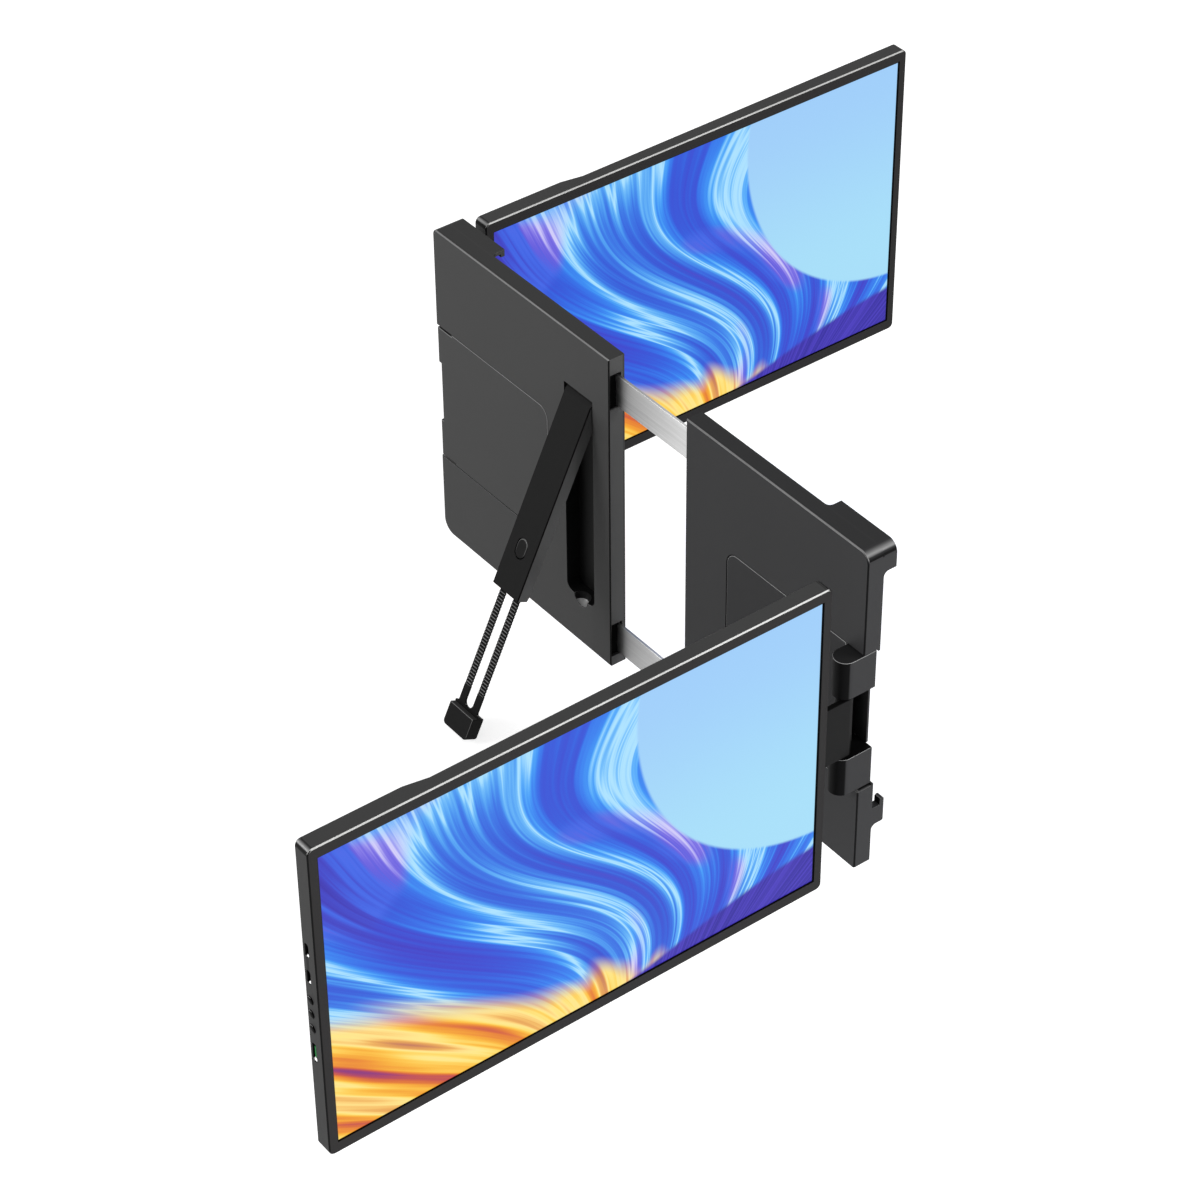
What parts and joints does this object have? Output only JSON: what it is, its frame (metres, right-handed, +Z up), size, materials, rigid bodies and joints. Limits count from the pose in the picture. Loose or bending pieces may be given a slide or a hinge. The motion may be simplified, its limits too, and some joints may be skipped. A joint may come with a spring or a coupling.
{
  "type": "laptop screen extender",
  "caption": "Clip-on screen extender: sliding clamp halves on rails, two hinged display wings and a folding, extending kickstand.",
  "frame": {"origin": "middle of the clamp's span at rest, on the clamp's front face, at its bottom edge", "axes": "+Z up, +Y towards the laptop lid and its user, +X along the rails towards the half that slides"},
  "size_m": [0.3792, 0.681, 0.2351],
  "materials": {
    "left_cover_plastic": "fine grained dark grey",
    "right_cover_plastic": "fine grained dark grey",
    "front_plastic": "satin dark grey",
    "left_leaf_paint": "satin dark grey paint",
    "right_leaf_paint": "satin dark grey paint",
    "tongue_paint": "satin near-black paint",
    "steel": "ground",
    "screw_steel": "plated",
    "hook_plastic": "semi-gloss dark grey",
    "pad_rubber": "soft matt",
    "wing_plastic": "fine grained dark grey",
    "bezel_plastic": "semi-gloss black",
    "display_panel": "lit screen behind a clear front",
    "circuit_board": "solder resist",
    "socket_metal": "plated",
    "button_plastic": "gloss black",
    "rail_steel": "brushed along its length",
    "guide_plastic": "low-friction black",
    "stand_plastic": "matt near-black",
    "fork_plastic": "matt near-black",
    "foot_plastic": "matt near-black",
    "stand_button": "matt near-black"
  },
  "bodies": {
    "left_bracket": {"left_back_cover": "left_cover_plastic", "left_front_plate": "front_plastic", "left_hinge_leaf": "left_leaf_paint", "left_hinge_pin": "steel", "left_leaf_screws": "screw_steel", "left_top_hook": "hook_plastic", "left_side_hook": "hook_plastic", "left_grip_pads": "pad_rubber", "upper_rail_guide": "guide_plastic", "lower_rail_guide": "guide_plastic", "kickstand_pivot_pin": "steel"},
    "right_bracket": {"right_back_cover": "right_cover_plastic", "right_front_plate": "front_plastic", "right_hinge_leaf": "right_leaf_paint", "right_hinge_pin": "steel", "right_leaf_screws": "screw_steel", "right_top_hook": "hook_plastic", "right_side_hook": "hook_plastic", "right_grip_pads": "pad_rubber", "upper_rail": "rail_steel", "lower_rail": "rail_steel", "rail_end_stops": "guide_plastic", "rail_screws": "screw_steel"},
    "left_wing": {"left_wing_back_shell": "wing_plastic", "left_wing_bezel": "bezel_plastic", "left_wing_display": "display_panel", "left_wing_control_board": "circuit_board", "left_wing_usb_sockets": "socket_metal", "left_wing_hdmi_socket": "socket_metal", "left_wing_hinge_tongue": "tongue_paint"},
    "right_wing": {"right_wing_back_shell": "wing_plastic", "right_wing_bezel": "bezel_plastic", "right_wing_display": "display_panel", "right_wing_control_board": "circuit_board", "right_wing_usb_sockets": "socket_metal", "right_wing_hdmi_socket": "socket_metal", "right_wing_hinge_tongue": "tongue_paint"},
    "kickstand_leg": {"kickstand_leg_housing": "stand_plastic", "kickstand_leg_plate": "stand_plastic"},
    "kickstand_extension": {"kickstand_fork": "fork_plastic", "kickstand_foot": "foot_plastic"},
    "kickstand_release": {"kickstand_release_button": "stand_button", "kickstand_pawl": "steel"},
    "left_lower_push": {"left_wing_lower_button": "button_plastic"},
    "left_middle_push": {"left_wing_middle_button": "button_plastic"},
    "left_upper_push": {"left_wing_upper_button": "button_plastic"},
    "right_lower_push": {"right_wing_lower_button": "button_plastic"},
    "right_middle_push": {"right_wing_middle_button": "button_plastic"},
    "right_upper_push": {"right_wing_upper_button": "button_plastic"}
  },
  "joints": [
    {"name": "clamp_slide", "type": "slide", "parent": "left_bracket", "child": "right_bracket", "axis": [1, 0, 0], "range_m": [-0.065, 0.05]},
    {"name": "left_wing_hinge", "type": "hinge", "parent": "left_bracket", "child": "left_wing", "pos_m": [-0.1794, 0.0105, 0.1009], "axis": [0, 0, 1], "range_deg": [-90, 90]},
    {"name": "right_wing_hinge", "type": "hinge", "parent": "right_bracket", "child": "right_wing", "pos_m": [0.1794, -0.0163, 0.1009], "axis": [0, 0, 1], "range_deg": [-70, 130]},
    {"name": "kickstand_hinge", "type": "hinge", "parent": "left_bracket", "child": "kickstand_leg", "pos_m": [-0.053, -0.0056, 0.1715], "axis": [-1, 0, 0], "range_deg": [-22.4, 35]},
    {"name": "kickstand_extend", "type": "slide", "parent": "kickstand_leg", "child": "kickstand_extension", "axis": [0, -0.4289, -0.9033], "range_m": [-0.075, 0.004]},
    {"name": "kickstand_release_press", "type": "slide", "parent": "kickstand_leg", "child": "kickstand_release", "axis": [0, 0.9033, -0.4289], "range_m": [0, 0.0008], "stiffness_N_per_m": 800, "springref_m": -0.0006},
    {"name": "left_lower_press", "type": "slide", "parent": "left_wing", "child": "left_lower_push", "axis": [0, -1, 0], "range_m": [0, 0.0005], "stiffness_N_per_m": 1200, "springref_m": -0.0004},
    {"name": "left_middle_press", "type": "slide", "parent": "left_wing", "child": "left_middle_push", "axis": [0, -1, 0], "range_m": [0, 0.0005], "stiffness_N_per_m": 1200, "springref_m": -0.0004},
    {"name": "left_upper_press", "type": "slide", "parent": "left_wing", "child": "left_upper_push", "axis": [0, -1, 0], "range_m": [0, 0.0005], "stiffness_N_per_m": 1200, "springref_m": -0.0004},
    {"name": "right_lower_press", "type": "slide", "parent": "right_wing", "child": "right_lower_push", "axis": [0, 1, 0], "range_m": [0, 0.0005], "stiffness_N_per_m": 1200, "springref_m": -0.0004},
    {"name": "right_middle_press", "type": "slide", "parent": "right_wing", "child": "right_middle_push", "axis": [0, 1, 0], "range_m": [0, 0.0005], "stiffness_N_per_m": 1200, "springref_m": -0.0004},
    {"name": "right_upper_press", "type": "slide", "parent": "right_wing", "child": "right_upper_push", "axis": [0, 1, 0], "range_m": [0, 0.0005], "stiffness_N_per_m": 1200, "springref_m": -0.0004}
  ]
}
